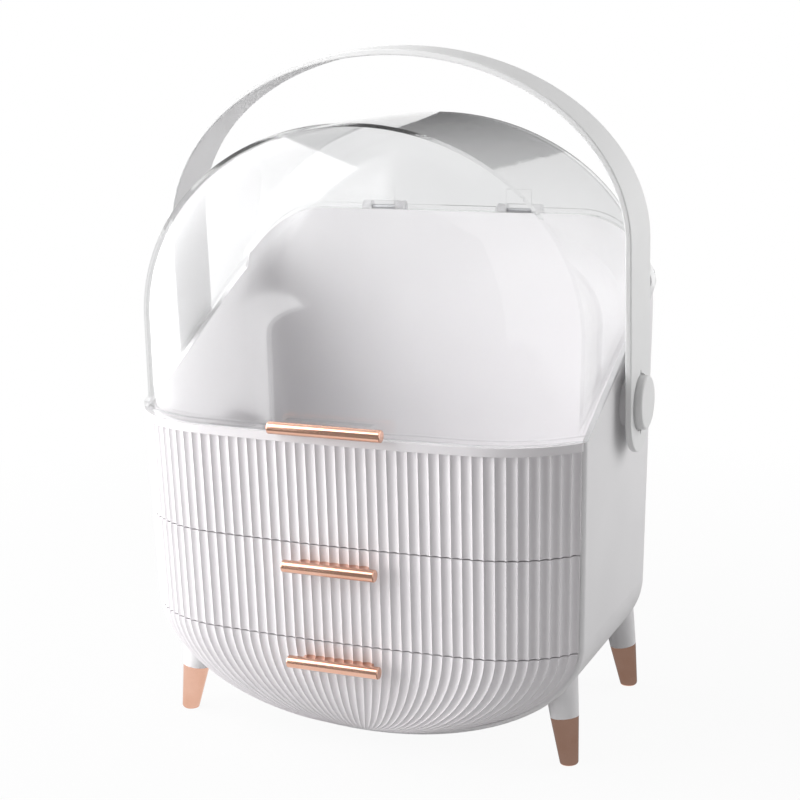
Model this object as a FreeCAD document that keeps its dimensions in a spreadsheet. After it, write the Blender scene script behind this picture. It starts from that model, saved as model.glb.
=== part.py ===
import FreeCAD, Part
import math
import os
import Sketcher
from FreeCAD import Placement, Rotation, Vector

# Makeup organizer: a white bowl-bottomed case on four splayed legs, two drawers and a fixed tray whose
# fronts share one set of vertical flutes, a clear domed lid hinged on the back panel, and a carry handle.
# Millimetres. X to the right, Y to the back, Z up. Sizes are measured from the ground between the four feet,
# and the finished pieces are moved so that the origin lies under the middle of the whole object.

doc = FreeCAD.newDocument("makeup_organizer")
sheet = doc.addObject("Spreadsheet::Sheet", "Sizes")

# Driving sizes: name, value, what it is
SIZES = [
    ("case_half_width", 140.5, "half width of the case at the top of the bowl"),
    ("bowl_height", 74.5, "height of the rounded bottom"),
    ("bowl_top", 80, "height above ground where the bowl meets the sides"),
    ("side_lean", 1.0, "outward lean of the sides, degrees"),
    ("lid_side", 57, "upright side of the lid between rim and arch"),
    ("arch_height", 119, "rise of the lid's arch"),
    ("case_wall", 3, "wall of the case"),
    ("case_back", 73, "back face behind the origin"),
    ("rear_round", 21.5, "rounding of the rear edges"),
    ("case_front", 90, "front edge of the case before the origin, at the rim"),
    ("front_lean", 2.9, "backward lean of the front going down, degrees"),
    ("front_round", 2.6, "rounding of the case's front edge"),
    ("rim_height", 203, "height of the front rim, where the lid rests"),
    ("lid_edge", 88, "crease of the lid before the origin"),
    ("seam_slope", 26.5, "slope of the side seam, degrees"),
    ("panel_rise", 110, "back panel over the front rim"),
    ("panel_flat", 90, "half width of the panel's level top"),
    ("panel_round", 53, "rounding of the panel's top corners"),
    ("front_margin", 3.9, "smooth margin beside the front's flutes"),
    ("bulge_radius", 1200, "plan radius of the front's middle"),
    ("corner_start", 53.7, "end of that middle from the front's end"),
    ("corner_radius", 72, "plan radius of the front's corners"),
    ("flute_count", 47, "hollow flutes across the front"),
    ("flute_depth", 1.6, "depth of a flute"),
    ("front_wall", 2.6, "wall behind the flutes"),
    ("upper_split", 136, "joint between tray and upper drawer"),
    ("lower_split", 75.5, "joint between the drawers"),
    ("split_gap", 0.8, "gap at each joint"),
    ("front_gap", 0.5, "gap between fronts and case"),
    ("lip_height", 5, "height of the white rim over the flutes"),
    ("lip_overhang", 1.0, "rim past the flutes"),
    ("plate_thickness", 2.5, "shelf and tray floor"),
    ("plate_gap", 0.3, "gap beside shelf and tray"),
    ("ledge_width", 6, "ledges that carry shelf and tray"),
    ("ledge_height", 3, "depth of those ledges"),
    ("drawer_wall", 2.2, "drawer walls"),
    ("drawer_gap", 1.5, "gap beside and over a drawer"),
    ("slide_gap", 0.2, "gap under a drawer"),
    ("drawer_rear_gap", 8, "gap behind a drawer"),
    ("rail_height", 8.5, "rails under the lower drawer over the bowl's lowest point"),
    ("rail_offset", 34, "rails from the middle"),
    ("rail_width", 8, "width of a rail"),
    ("lid_wall", 2.2, "wall of the lid"),
    ("lid_taper", 3, "lid's sides drawn in at its crease"),
    ("flange_width", 3.3, "lid rim past the lid's wall"),
    ("flange_height", 3.2, "height of the lid rim"),
    ("seam_gap", 0.3, "gap under the lid rim"),
    ("hinge_spacing", 48, "hinges from the middle"),
    ("hinge_radius", 4.2, "radius of lugs and knuckles"),
    ("hinge_offset", 4.8, "hinge axis behind the back face"),
    ("hinge_rise", 1.2, "hinge axis over the panel"),
    ("knuckle_width", 17, "lid knuckle"),
    ("hinge_plate_height", 14, "plate of a knuckle on the lid's back"),
    ("hinge_plate_thickness", 2, "thickness of that plate"),
    ("lug_width", 6, "case lug"),
    ("hinge_side_gap", 0.4, "gap between knuckle and lug"),
    ("hinge_pin_radius", 1.5, "hinge pin"),
    ("running_gap", 0.05, "radial clearance of turning fits"),
    ("pivot_drop", 33.9, "handle pivot below the side seam"),
    ("pivot_forward", 6, "handle pivot before the origin"),
    ("handle_thickness", 3.8, "thickness of the band"),
    ("handle_arm_width", 45, "width of the arms"),
    ("handle_top_width", 29, "width at the top"),
    ("handle_arm", 98, "upright part of an arm over the pivot"),
    ("handle_headroom", 38.3, "inside of the handle's crown over the lid"),
    ("handle_edge", 0.9, "softened edges of the band"),
    ("handle_lean", 3.5, "forward lean of the handle at rest, degrees"),
    ("handle_tail", 8, "straight end of an arm below the pivot"),
    ("eye_depth", 1.8, "recess for the knob"),
    ("eye_gap", 1.1, "gap round the knob in its recess"),
    ("notch_reach", 3.2, "pointed notches past the recess"),
    ("notch_width", 6, "width of a notch"),
    ("knob_radius", 16.5, "pivot knob"),
    ("knob_reach", 4.8, "knob out of the handle"),
    ("knob_shank_radius", 11, "journal that the handle turns on"),
    ("boss_radius", 15, "boss on the case's side"),
    ("boss_reach", 5.1, "boss out of the case's side"),
    ("side_gap", 0.4, "gap between boss, handle and knob"),
    ("foot_half_span", 128.5, "feet from the middle, on the ground"),
    ("foot_half_depth", 69.5, "feet before and behind the origin"),
    ("foot_splay_side", 8, "sideways splay of the legs, degrees"),
    ("foot_splay_deep", 5, "splay to front and back, degrees"),
    ("cap_height", 29, "rose-gold foot cap"),
    ("cap_top_radius", 8.6, "cap at its top"),
    ("cap_bottom_radius", 5.4, "cap on the ground"),
    ("leg_height", 30, "white leg over the cap"),
    ("leg_top_radius", 11, "leg at its shoulder"),
    ("leg_blend", 45, "taper of the leg into the case's side"),
    ("leg_end_radius", 4, "end of that taper"),
    ("spigot_radius", 4, "peg of a leg in its cap"),
    ("spigot_length", 14, "length of that peg"),
    ("pull_radius", 3.7, "pull bar"),
    ("pull_length", 59, "drawer pulls"),
    ("lid_pull_length", 71, "lid pull"),
    ("pull_stand", 8.5, "bar's middle from the flutes"),
    ("pull_drop", 12, "drawer pull below the joint over it"),
    ("pull_web_width", 44, "web that carries the bar"),
    ("pull_web_height", 4, "height of that web"),
    ("tab_width", 54, "clear tab on the lid"),
    ("tab_height", 8, "height of that tab"),
    ("tab_reach", 6.5, "tab before the lid's face"),
    ("tab_slot", 3, "depth of the pull's seat in the tab"),
    ("screw_radius", 1.2, "screws"),
    ("screw_head_radius", 3, "screw heads"),
    ("screw_head_height", 1.8, "screw heads"),
    ("screw_length", 9, "screws under the head"),
    ("pull_screw_spacing", 15, "pull screws from the middle"),
    ("pull_gap", 0.3, "gap between the lid pull and its tab"),
    ("pull_edge", 0.8, "softened ends of the bars"),
    ("sunk_head_radius", 2.4, "sunk heads of shelf and tray screws"),
    ("sunk_head_height", 1.2, "depth of those heads"),
    ("knob_edge", 1.8, "rounded edge of the knob"),
    ("cap_sink", 0.9, "cap's tip below its ground cut"),
    ("cap_edge", 2.4, "rounding of the cap's tip"),
    ("flute_end", 80, "turn of the bowl where the flutes end, degrees"),
    ("dome_inset", 100, "lid's arch drawn in over the dome"),
]
v = {}


def keep(alias, number, words):
    """Adds a named size to the sheet."""
    row = len(v) + 1
    sheet.set("A%d" % row, words)
    sheet.set("B%d" % row, repr(number))
    sheet.setAlias("B%d" % row, alias)
    v[alias] = float(number)


for alias, number, words in SIZES:
    keep(alias, number, words)


def tangent(degrees):
    return math.tan(math.radians(degrees))


def seam_height(y):
    """Height of the side seam at a depth."""
    return v["rim_height"] + (y + v["lid_edge"]) * tangent(v["seam_slope"])


# Heights over the rim
ARCH_SPRING = v["rim_height"] + v["lid_side"]
PANEL_TOP = v["rim_height"] + v["panel_rise"]
PIVOT_Z = seam_height(-v["pivot_forward"]) - v["pivot_drop"]
HANDLE_SPRING = PIVOT_Z + v["handle_arm"]
HANDLE_RISE = ARCH_SPRING + v["arch_height"] + v["handle_headroom"] - HANDLE_SPRING


# Shared outline: bowl, leaning sides and arch, seen from the front


def outline(grow):
    """Half axes and heights of the bowl and the arch, with sides that touch both, grown outward by grow."""
    lean = math.radians(v["side_lean"])
    bowl_wide = v["case_half_width"] + grow
    bowl_tall = v["bowl_height"] + grow
    arch_tall = v["arch_height"] + grow
    reach = math.hypot(bowl_wide * math.cos(lean), bowl_tall * math.sin(lean))
    reach += (ARCH_SPRING - v["bowl_top"]) * math.sin(lean)
    arch_wide = math.sqrt(reach ** 2 - (arch_tall * math.sin(lean)) ** 2) / math.cos(lean)
    return bowl_wide, bowl_tall, arch_wide, arch_tall


def half_width(height, grow=0.0):
    """Half width of the case's outline at a height below the arch."""
    bowl_wide, bowl_tall, arch_wide, arch_tall = outline(grow)
    lean = math.radians(v["side_lean"])
    turn = math.atan(bowl_tall / bowl_wide * math.tan(lean))
    meet = v["bowl_top"] - bowl_tall * math.sin(turn)
    if height >= meet:
        return bowl_wide * math.cos(turn) + (height - meet) * math.tan(lean)
    return bowl_wide * math.sqrt(1 - ((v["bowl_top"] - height) / bowl_tall) ** 2)


def ellipse_arc(wide, tall, height, start, end, y):
    """Arc of an upright ellipse centred over the origin, in the plane of depth y."""
    centre = Vector(0, y, height)
    ellipse = Part.Ellipse(centre + Vector(wide, 0, 0), centre + Vector(0, 0, tall), centre)
    return Part.ArcOfEllipse(ellipse, start, end).toShape()


def line(start, end):
    return Part.LineSegment(start, end).toShape()


def ends(edge):
    """First and last point of an edge along its own direction."""
    return edge.valueAt(edge.FirstParameter), edge.valueAt(edge.LastParameter)


def capsule(grow, front, back, rounding):
    """Outline pulled from front to back, its rear edges rounded."""
    bowl_wide, bowl_tall, arch_wide, arch_tall = outline(grow)
    lean = math.radians(v["side_lean"])
    low = math.atan(bowl_tall / bowl_wide * math.tan(lean))
    high = math.atan(arch_tall / arch_wide * math.tan(lean))
    bowl = ellipse_arc(bowl_wide, bowl_tall, v["bowl_top"], math.pi + low, 2 * math.pi - low, front)
    arch = ellipse_arc(arch_wide, arch_tall, ARCH_SPRING, -high, math.pi + high, front)
    bowl_left, bowl_right = ends(bowl)
    arch_right, arch_left = ends(arch)
    wire = Part.Wire([bowl, line(bowl_right, arch_right), arch, line(arch_left, bowl_left)])
    solid = Part.Face(wire).extrude(Vector(0, back - front, 0))
    rear = [edge for edge in solid.Edges if min(point.y for point in edge.discretize(3)) > back - rounding]
    return solid.makeFillet(rounding, rear)


def prism_across(points, reach):
    """Side-view outline of (y, z) points, pulled to both sides by reach."""
    corners = [Vector(-reach, y, z) for y, z in points]
    return Part.Face(Part.makePolygon(corners + corners[:1])).extrude(Vector(2 * reach, 0, 0))


def edge_line(height):
    """Depth of the case's leaning front edge at a height."""
    return -v["case_front"] + (v["rim_height"] - height) * tangent(v["front_lean"])


# Reach of cutters past everything, reach past one face, and how near a point is to a face that holds it
FAR = 3 * v["case_half_width"]
OVERCUT = 1
ON_FACE = 0.001

# Levels of the lofts
FRONT_LEVELS = 8
HOLLOW_LEVELS = 6
DOME_LEVELS = 7


def below_seam(lift):
    """Everything under the seam of case and lid: level in front, sloped at the sides, high at the back."""
    rim = v["rim_height"] + lift
    crease = (-v["lid_edge"], rim)
    behind = (FAR, seam_height(FAR) + lift)
    sloped = prism_across([(-FAR, -FAR), (-FAR, rim), crease, behind, (FAR, -FAR)], FAR)
    top = PANEL_TOP + lift
    flat = v["panel_flat"]
    bend = v["panel_round"]
    start = v["case_back"] - v["rear_round"]
    slant = bend * math.sqrt(0.5)
    right = Part.Arc(Vector(flat + bend, start, top - bend), Vector(flat + slant, start, top - bend + slant),
                     Vector(flat, start, top)).toShape()
    left = Part.Arc(Vector(-flat, start, top), Vector(-flat - slant, start, top - bend + slant),
                    Vector(-flat - bend, start, top - bend)).toShape()
    foot_right = Vector(flat + bend, start, v["bowl_top"])
    foot_left = Vector(-flat - bend, start, v["bowl_top"])
    wire = Part.Wire([right, line(Vector(flat, start, top), Vector(-flat, start, top)), left,
                      line(Vector(-flat - bend, start, top - bend), foot_left), line(foot_left, foot_right),
                      line(foot_right, Vector(flat + bend, start, top - bend))])
    panel = Part.Face(wire).extrude(Vector(0, FAR, 0))
    return sloped.fuse(panel)


def before_edge():
    """Everything in front of the case's leaning front edge."""
    top = PANEL_TOP + v["arch_height"]
    return prism_across([(-FAR, -FAR), (edge_line(-FAR), -FAR), (edge_line(top), top), (-FAR, top)], FAR)


# Fluted front: one plan curve, scaled to the outline's width at each height


FRONT_HALF = half_width(v["rim_height"]) - v["front_margin"]
MIDDLE_HALF = FRONT_HALF - v["corner_start"]
TURN_CORNER = math.asin(MIDDLE_HALF / v["bulge_radius"])
TURN_END = math.asin(v["corner_start"] / v["corner_radius"] + math.sin(TURN_CORNER))
CORNER_DROP = v["bulge_radius"] * (1 - math.cos(TURN_CORNER))
FRONT_DEPTH = CORNER_DROP + v["corner_radius"] * (math.cos(TURN_CORNER) - math.cos(TURN_END))
MIDDLE_RUN = v["bulge_radius"] * TURN_CORNER
HALF_RUN = MIDDLE_RUN + v["corner_radius"] * (TURN_END - TURN_CORNER)


def plan_point(run, out):
    """Point at a run along the plan curve from its middle, set out along the curve's normal by out."""
    side = math.copysign(1.0, run)
    run = abs(run)
    if run <= MIDDLE_RUN:
        turn = run / v["bulge_radius"]
        x = v["bulge_radius"] * math.sin(turn)
        drop = v["bulge_radius"] * (1 - math.cos(turn))
    else:
        turn = TURN_CORNER + (run - MIDDLE_RUN) / v["corner_radius"]
        x = MIDDLE_HALF + v["corner_radius"] * (math.sin(turn) - math.sin(TURN_CORNER))
        drop = CORNER_DROP + v["corner_radius"] * (math.cos(TURN_CORNER) - math.cos(turn))
    return side * (x + out * math.sin(turn)), drop - FRONT_DEPTH - out * math.cos(turn)


def front_scale(height):
    return (half_width(height, -v["front_margin"])) / FRONT_HALF


def front_place(run, out, height, scale):
    x, y = plan_point(run, out)
    return Vector(x * scale, edge_line(height) - v["front_gap"] + y * scale, height)


def fluted_section(height):
    """Closed outline of the fluted front at a height, straight behind."""
    scale = front_scale(height)
    count = int(v["flute_count"])
    step = 2 * HALF_RUN / count
    edges = []
    for flute in range(count):
        start = -HALF_RUN + flute * step
        first = front_place(start, v["flute_depth"], height, scale)
        valley = front_place(start + step / 2, 0, height, scale)
        last = front_place(start + step, v["flute_depth"], height, scale)
        edges.append(Part.Arc(first, valley, last).toShape())
    left, right = [front_place(side * HALF_RUN, v["flute_depth"], height, scale) for side in (-1, 1)]
    back = edge_line(height) - v["front_gap"]
    right_back = Vector(right.x, back, height)
    left_back = Vector(left.x, back, height)
    edges += [line(right, right_back), line(right_back, left_back), line(left_back, left)]
    return Part.Wire(edges)


def smooth_section(height, out, tail, scale):
    """Closed outline along the plan curve without flutes, set out by out, with a straight tail behind."""
    def place(run):
        return front_place(run, out, height, scale)
    corner = (HALF_RUN + MIDDLE_RUN) / 2
    runs = [-HALF_RUN, -corner, -MIDDLE_RUN, 0, MIDDLE_RUN, corner, HALF_RUN]
    edges = [Part.Arc(place(runs[k]), place(runs[k + 1]), place(runs[k + 2])).toShape() for k in (0, 2, 4)]
    right = place(HALF_RUN)
    left = place(-HALF_RUN)
    behind = Vector(0, tail, 0)
    edges += [line(right, right + behind), line(right + behind, left + behind), line(left + behind, left)]
    return Part.Wire(edges)


def bowl_levels(grow, highest, lowest, count):
    """Heights down the bowl at equal turns."""
    tall = v["bowl_height"] + grow
    first = math.asin((v["bowl_top"] - highest) / tall)
    last = math.asin((v["bowl_top"] - lowest) / tall)
    return [v["bowl_top"] - tall * math.sin(first + (last - first) * k / (count - 1)) for k in range(count)]


def loft(sections, ruled):
    return Part.makeLoft(sections, True, ruled)


def fluted_block(heights):
    return loft([fluted_section(height) for height in heights], len(heights) == 2)


def hollow_scale(height):
    inset = -v["front_margin"] - v["front_wall"]
    return half_width(height, inset) / half_width(v["rim_height"], inset)


def hollow_block(heights, tail):
    """Room behind the fluted wall, with the wall's thickness left in front."""
    sections = [smooth_section(height, -v["front_wall"], tail, hollow_scale(height)) for height in heights]
    return loft(sections, len(heights) == 2)


def box(x, y, z):
    """Box between pairs of limits."""
    return Part.makeBox(x[1] - x[0], y[1] - y[0], z[1] - z[0], Vector(x[0], y[0], z[0]))


def cylinder_x(radius, x, y, z):
    """Cylinder along X between the limits x."""
    return Part.makeCylinder(radius, x[1] - x[0], Vector(x[0], y, z), Vector(1, 0, 0))


def sides():
    return (("left", -1), ("right", 1))


def span(side, inner, outer):
    """Limits of a stretch from inner to outer on one side of the middle."""
    return tuple(sorted((side * inner, side * outer)))


def feature(name, shape):
    """Sub-part with a shape of its own making."""
    piece = doc.addObject("Part::Feature", name)
    piece.Label = name
    piece.Shape = shape
    piece.Placement = Placement()
    return piece


# Case


INNER_BACK = v["case_back"] - v["case_wall"]
SHELF_TOP = v["lower_split"]
SHELF_BOTTOM = SHELF_TOP - v["plate_thickness"]
TRAY_BOTTOM = v["upper_split"]
BOWL_BOTTOM = v["bowl_top"] - v["bowl_height"]
RAIL_TOP = BOWL_BOTTOM + v["rail_height"]
TRAY_TOP = TRAY_BOTTOM + v["plate_thickness"]
PLATE_FRONT = edge_line(v["lower_split"])
PLATE_BACK = INNER_BACK - v["plate_gap"]
HINGE_Y = v["case_back"] + v["hinge_offset"]
HINGE_Z = PANEL_TOP + v["hinge_rise"]
PIVOT_Y = -v["pivot_forward"]
SIDE_AT_PIVOT = half_width(PIVOT_Z)
BOSS_FACE = SIDE_AT_PIVOT + v["boss_reach"]
keep("handle_half_span", BOSS_FACE + v["side_gap"], "inside of the handle's arms")


def inner_capsule():
    return capsule(-v["case_wall"], -FAR, INNER_BACK, v["rear_round"] - v["case_wall"])


def leg_axis(side, end):
    """Unit direction of a leg from its foot upward."""
    lean = Vector(-side * tangent(v["foot_splay_side"]), -end * tangent(v["foot_splay_deep"]), 1)
    return lean.normalize()


def foot_point(side, end):
    return Vector(side * v["foot_half_span"], end * v["foot_half_depth"], 0)


def legs():
    """White leg bosses with the pegs that hold the foot caps."""
    shapes = []
    for side in (-1, 1):
        for end in (-1, 1):
            axis = leg_axis(side, end)
            ring = foot_point(side, end) + axis * v["cap_height"]
            shoulder = ring + axis * v["leg_height"]
            wide = v["leg_top_radius"]
            shapes.append(Part.makeCone(v["cap_top_radius"], wide, v["leg_height"], ring, axis))
            shapes.append(Part.makeCone(wide, v["leg_end_radius"], v["leg_blend"], shoulder, axis))
    return shapes


def pegs():
    shapes = []
    for side in (-1, 1):
        for end in (-1, 1):
            axis = leg_axis(side, end)
            ring = foot_point(side, end) + axis * v["cap_height"]
            shapes.append(Part.makeCylinder(v["spigot_radius"], v["spigot_length"], ring, axis * -1))
    return shapes


def hinge_lugs():
    """Pairs of lugs behind the back panel, bored for the hinge pins."""
    shapes = []
    back = v["case_back"]
    foot = 4 * v["hinge_radius"]
    root = back - v["case_wall"] / 2
    near_y = HINGE_Y - v["hinge_radius"]
    top = PANEL_TOP - OVERCUT
    web = [(root, HINGE_Z - foot), (HINGE_Y, HINGE_Z - v["hinge_radius"]), (HINGE_Y, HINGE_Z),
           (near_y, HINGE_Z), (near_y, top), (root, top)]
    for name, side in sides():
        middle = side * v["hinge_spacing"]
        near = v["knuckle_width"] / 2 + v["hinge_side_gap"]
        for way in (-1, 1):
            start, end = sorted((middle + way * near, middle + way * (near + v["lug_width"])))
            corners = [Vector(start, y, z) for y, z in web]
            block = Part.Face(Part.makePolygon(corners + corners[:1])).extrude(Vector(end - start, 0, 0))
            shapes.append(block.fuse(cylinder_x(v["hinge_radius"], (start, end), HINGE_Y, HINGE_Z)))
    return shapes


def ledge(side, top):
    """Ledge along one inner wall, its top at a height."""
    wall = half_width(top) - v["case_wall"]
    return box(span(side, wall - v["ledge_width"], wall + OVERCUT),
               (PLATE_FRONT, INNER_BACK - v["rear_round"]), (top - v["ledge_height"], top))


def rails():
    """Two strips on the bowl's floor that carry the lower drawer."""
    shapes = []
    for name, side in sides():
        inner = v["rail_offset"] - v["rail_width"] / 2
        floor = BOWL_BOTTOM + v["case_wall"] / 2
        shapes.append(box(span(side, inner, inner + v["rail_width"]), (edge_line(0), INNER_BACK),
                          (floor, RAIL_TOP)))
    return shapes


def screw_places(inset, ends_y):
    """Four (x, y) places of plate screws over the ledges."""
    return [(side * inset, y) for side in (-1, 1) for y in ends_y]


PLATE_SCREW_Y = (PLATE_FRONT / 2, (INNER_BACK - v["rear_round"]) / 2)


def plate_screw_x(height):
    return half_width(height) - v["case_wall"] - v["ledge_width"] / 2


def rounded_front(solid):
    """Rounds the edges of the face that leans like the case's front."""
    front = [edge for edge in solid.Edges
             if all(abs(point.y - edge_line(point.z)) < ON_FACE for point in edge.discretize(3))]
    return solid.makeFillet(v["front_round"], front)


def make_outer_shell():
    outer = rounded_front(capsule(0, -FAR, v["case_back"], v["rear_round"]).cut(before_edge()))
    inner = inner_capsule()
    shell = outer.fuse(legs()).cut(inner).common(below_seam(0)).cut(before_edge())
    extra = []
    for name, side in sides():
        boss = span(side, SIDE_AT_PIVOT - v["case_wall"] / 2, BOSS_FACE)
        extra.append(cylinder_x(v["boss_radius"], boss, PIVOT_Y, PIVOT_Z))
        extra.append(ledge(side, SHELF_BOTTOM))
        extra.append(ledge(side, TRAY_BOTTOM))
    shell = shell.fuse(extra + [rail.common(outer) for rail in rails()] + hinge_lugs() + pegs())
    cuts = []
    for name, side in sides():
        journal = span(side, SIDE_AT_PIVOT, BOSS_FACE + OVERCUT)
        cuts.append(cylinder_x(v["knob_shank_radius"], journal, PIVOT_Y, PIVOT_Z))
        reach = v["knuckle_width"] / 2 + v["hinge_side_gap"] + v["lug_width"] + OVERCUT
        middle = side * v["hinge_spacing"]
        cuts.append(cylinder_x(v["hinge_pin_radius"], (middle - reach, middle + reach), HINGE_Y, HINGE_Z))
    for top in (SHELF_BOTTOM, TRAY_BOTTOM):
        for x, y in screw_places(plate_screw_x(top), PLATE_SCREW_Y):
            cuts.append(Part.makeCylinder(v["screw_radius"], v["ledge_height"] + 2 * OVERCUT,
                                          Vector(x, y, top - v["ledge_height"] - OVERCUT)))
    return feature("outer_shell", shell.cut(cuts).removeSplitter())


# Tray and drawers


def plate_holes(bottom):
    """Holes through a plate for its four screws, with sunk seats for their heads."""
    cutters = []
    top = bottom + v["plate_thickness"]
    for x, y in screw_places(plate_screw_x(bottom), PLATE_SCREW_Y):
        cutters.append(Part.makeCylinder(v["screw_radius"], v["plate_thickness"] + 2 * OVERCUT,
                                         Vector(x, y, bottom - OVERCUT)))
        cutters.append(Part.makeCylinder(v["sunk_head_radius"], v["sunk_head_height"] + OVERCUT,
                                         Vector(x, y, top - v["sunk_head_height"])))
    return cutters


def make_upper_tray():
    """Fixed upper compartment: floor, fluted front and smooth rim."""
    lip_bottom = v["rim_height"] - v["lip_height"]
    front = fluted_block([lip_bottom, v["upper_split"] + v["split_gap"] / 2])
    out = v["flute_depth"] + v["lip_overhang"]
    lip_levels = (v["rim_height"], lip_bottom)
    lip = loft([smooth_section(height, out, out, front_scale(height)) for height in lip_levels], True)
    wall = half_width(TRAY_BOTTOM) - v["case_wall"] - v["plate_gap"]
    floor = box((-wall, wall), (edge_line(TRAY_TOP) - v["drawer_gap"], PLATE_BACK), (TRAY_BOTTOM, TRAY_TOP))
    room = hollow_block([v["rim_height"] + OVERCUT, TRAY_TOP], v["case_front"])
    tray = front.fuse([lip]).cut(room).fuse(floor)
    corner = capsule(-v["case_wall"] - v["plate_gap"], -FAR, PLATE_BACK, v["rear_round"] - v["case_wall"])
    tray = tray.cut(floor.cut(before_edge()).cut(corner))
    return feature("upper_tray", tray.cut(plate_holes(TRAY_BOTTOM)).removeSplitter())


def pull_holes(height):
    """Holes for the two screws of a drawer pull."""
    holes = []
    for name, side in sides():
        start = Vector(side * v["pull_screw_spacing"], edge_line(height) - 2 * FRONT_DEPTH, height)
        holes.append(Part.makeCylinder(v["screw_radius"], 2 * FRONT_DEPTH, start, Vector(0, 1, 0)))
    return holes


DRAWER_BACK = INNER_BACK - v["drawer_rear_gap"]
UPPER_PULL_Z = v["upper_split"] - v["pull_drop"]
LOWER_PULL_Z = v["lower_split"] - v["pull_drop"]


def drawer_room(inset):
    """Space of a drawer inside the case, drawn in by inset."""
    round_rear = v["rear_round"] - v["case_wall"] - inset
    return capsule(-v["case_wall"] - v["drawer_gap"] - inset, -FAR, DRAWER_BACK - inset, round_rear)


def make_upper_drawer():
    """Drawer with straight walls behind its fluted front."""
    bottom = SHELF_TOP + v["slide_gap"]
    top = TRAY_BOTTOM - v["ledge_height"] - v["drawer_gap"]
    front_top = v["upper_split"] - v["split_gap"] / 2
    front_bottom = v["lower_split"] + v["split_gap"] / 2
    wall = v["drawer_wall"]
    start = edge_line(v["lower_split"]) - v["drawer_gap"] - v["front_gap"]
    body = drawer_room(0).common(box((-FAR, FAR), (start, FAR), (bottom, top)))
    room = drawer_room(wall).common(box((-FAR, FAR), (-FAR, FAR), (bottom + wall, front_top + OVERCUT)))
    behind = box((-FAR, FAR), (edge_line(bottom), FAR), (bottom, front_top + OVERCUT))
    bulge = hollow_block([front_top + OVERCUT, bottom + wall], v["case_front"] / 2)
    drawer = fluted_block([front_top, front_bottom]).fuse(body).cut(room.common(bulge.fuse(behind)))
    return feature("upper_drawer", drawer.cut(pull_holes(UPPER_PULL_Z)).removeSplitter())


def make_lower_drawer():
    """Drawer rounded like the bowl that holds it."""
    floor = RAIL_TOP + v["slide_gap"]
    top = SHELF_BOTTOM - v["ledge_height"] - v["drawer_gap"] / 2
    front_top = v["lower_split"] - v["split_gap"] / 2
    wall = v["drawer_wall"]
    start = edge_line(floor) - v["drawer_gap"] - v["front_gap"]
    body = drawer_room(0).common(box((-FAR, FAR), (start, FAR), (floor, top)))
    room = drawer_room(wall).common(box((-FAR, FAR), (-FAR, FAR), (floor + wall, front_top + OVERCUT)))
    behind = box((-FAR, FAR), (edge_line(floor), FAR), (floor, front_top + OVERCUT))
    margin = -v["front_margin"]
    lowest = v["bowl_top"] - (v["bowl_height"] + margin) * math.sin(math.radians(v["flute_end"]))
    front = fluted_block(bowl_levels(margin, front_top, lowest, FRONT_LEVELS))
    hollow = margin - v["front_wall"]
    levels = bowl_levels(hollow, front_top, floor + wall, HOLLOW_LEVELS)
    bulge = hollow_block([front_top + OVERCUT] + levels[1:], v["case_front"] / 2)
    drawer = front.fuse(body).cut(room.common(bulge.fuse(behind)))
    return feature("lower_drawer", drawer.cut(pull_holes(LOWER_PULL_Z)).removeSplitter())


# Lid


LID_FRONT = -v["lid_edge"] - FRONT_DEPTH
TAB_BOTTOM = v["rim_height"] + v["seam_gap"]
TAB_FRONT = LID_FRONT - v["tab_reach"]
LID_PULL_Z = TAB_BOTTOM + v["tab_height"] / 2


def plan_depth(inset):
    """Depth of the plan curve's bulge at an inset from its end."""
    x = FRONT_HALF - inset
    if x <= MIDDLE_HALF:
        return FRONT_DEPTH - v["bulge_radius"] + math.sqrt(v["bulge_radius"] ** 2 - x ** 2)
    turn = math.asin((x - MIDDLE_HALF) / v["corner_radius"] + math.sin(TURN_CORNER))
    return v["corner_radius"] * (math.cos(turn) - math.cos(TURN_END))


LID_BOTTOM = v["rim_height"] - v["lip_height"]


def arch_section(grow, y, taper):
    """Upper part of the outline, level at the bottom, in the plane of depth y, its sides drawn in by taper."""
    bowl_wide, bowl_tall, arch_wide, arch_tall = outline(grow)
    arch_wide -= taper
    high = math.atan(arch_tall / arch_wide * tangent(v["side_lean"]))
    arch = ellipse_arc(arch_wide, arch_tall, ARCH_SPRING, -high, math.pi + high, y)
    arch_right, arch_left = ends(arch)
    fall = (arch_right.z - LID_BOTTOM) * tangent(v["side_lean"])
    right = Vector(arch_right.x - fall, y, LID_BOTTOM)
    left = Vector(arch_left.x + fall, y, LID_BOTTOM)
    return Part.Wire([line(right, arch_right), arch, line(arch_left, left), line(left, right)])


def lid_face(grow):
    """Domed front of the lid from its crease forward."""
    swell = (FRONT_DEPTH + grow) / FRONT_DEPTH
    insets = [v["dome_inset"] * (k / (DOME_LEVELS - 1)) ** 2 for k in range(DOME_LEVELS)]
    depths = [-v["lid_edge"] - swell * plan_depth(inset) for inset in insets]
    taper = v["lid_taper"]
    return loft([arch_section(grow - inset, depth, taper) for inset, depth in zip(insets, depths)], False)


def lid_barrel(grow):
    """Lid behind its crease, widening backward, its rear edges rounded."""
    back = v["case_back"] + grow
    solid = loft([arch_section(grow, -v["lid_edge"], v["lid_taper"]), arch_section(grow, back, 0)], True)
    rear = [edge for edge in solid.Edges if min(point.y for point in edge.discretize(3)) > back - ON_FACE
            and edge.CenterOfMass.z > LID_BOTTOM + ON_FACE]
    return solid.makeFillet(v["rear_round"] + grow, rear)


def lid_envelope(grow):
    return lid_barrel(grow).fuse(lid_face(grow))


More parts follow.
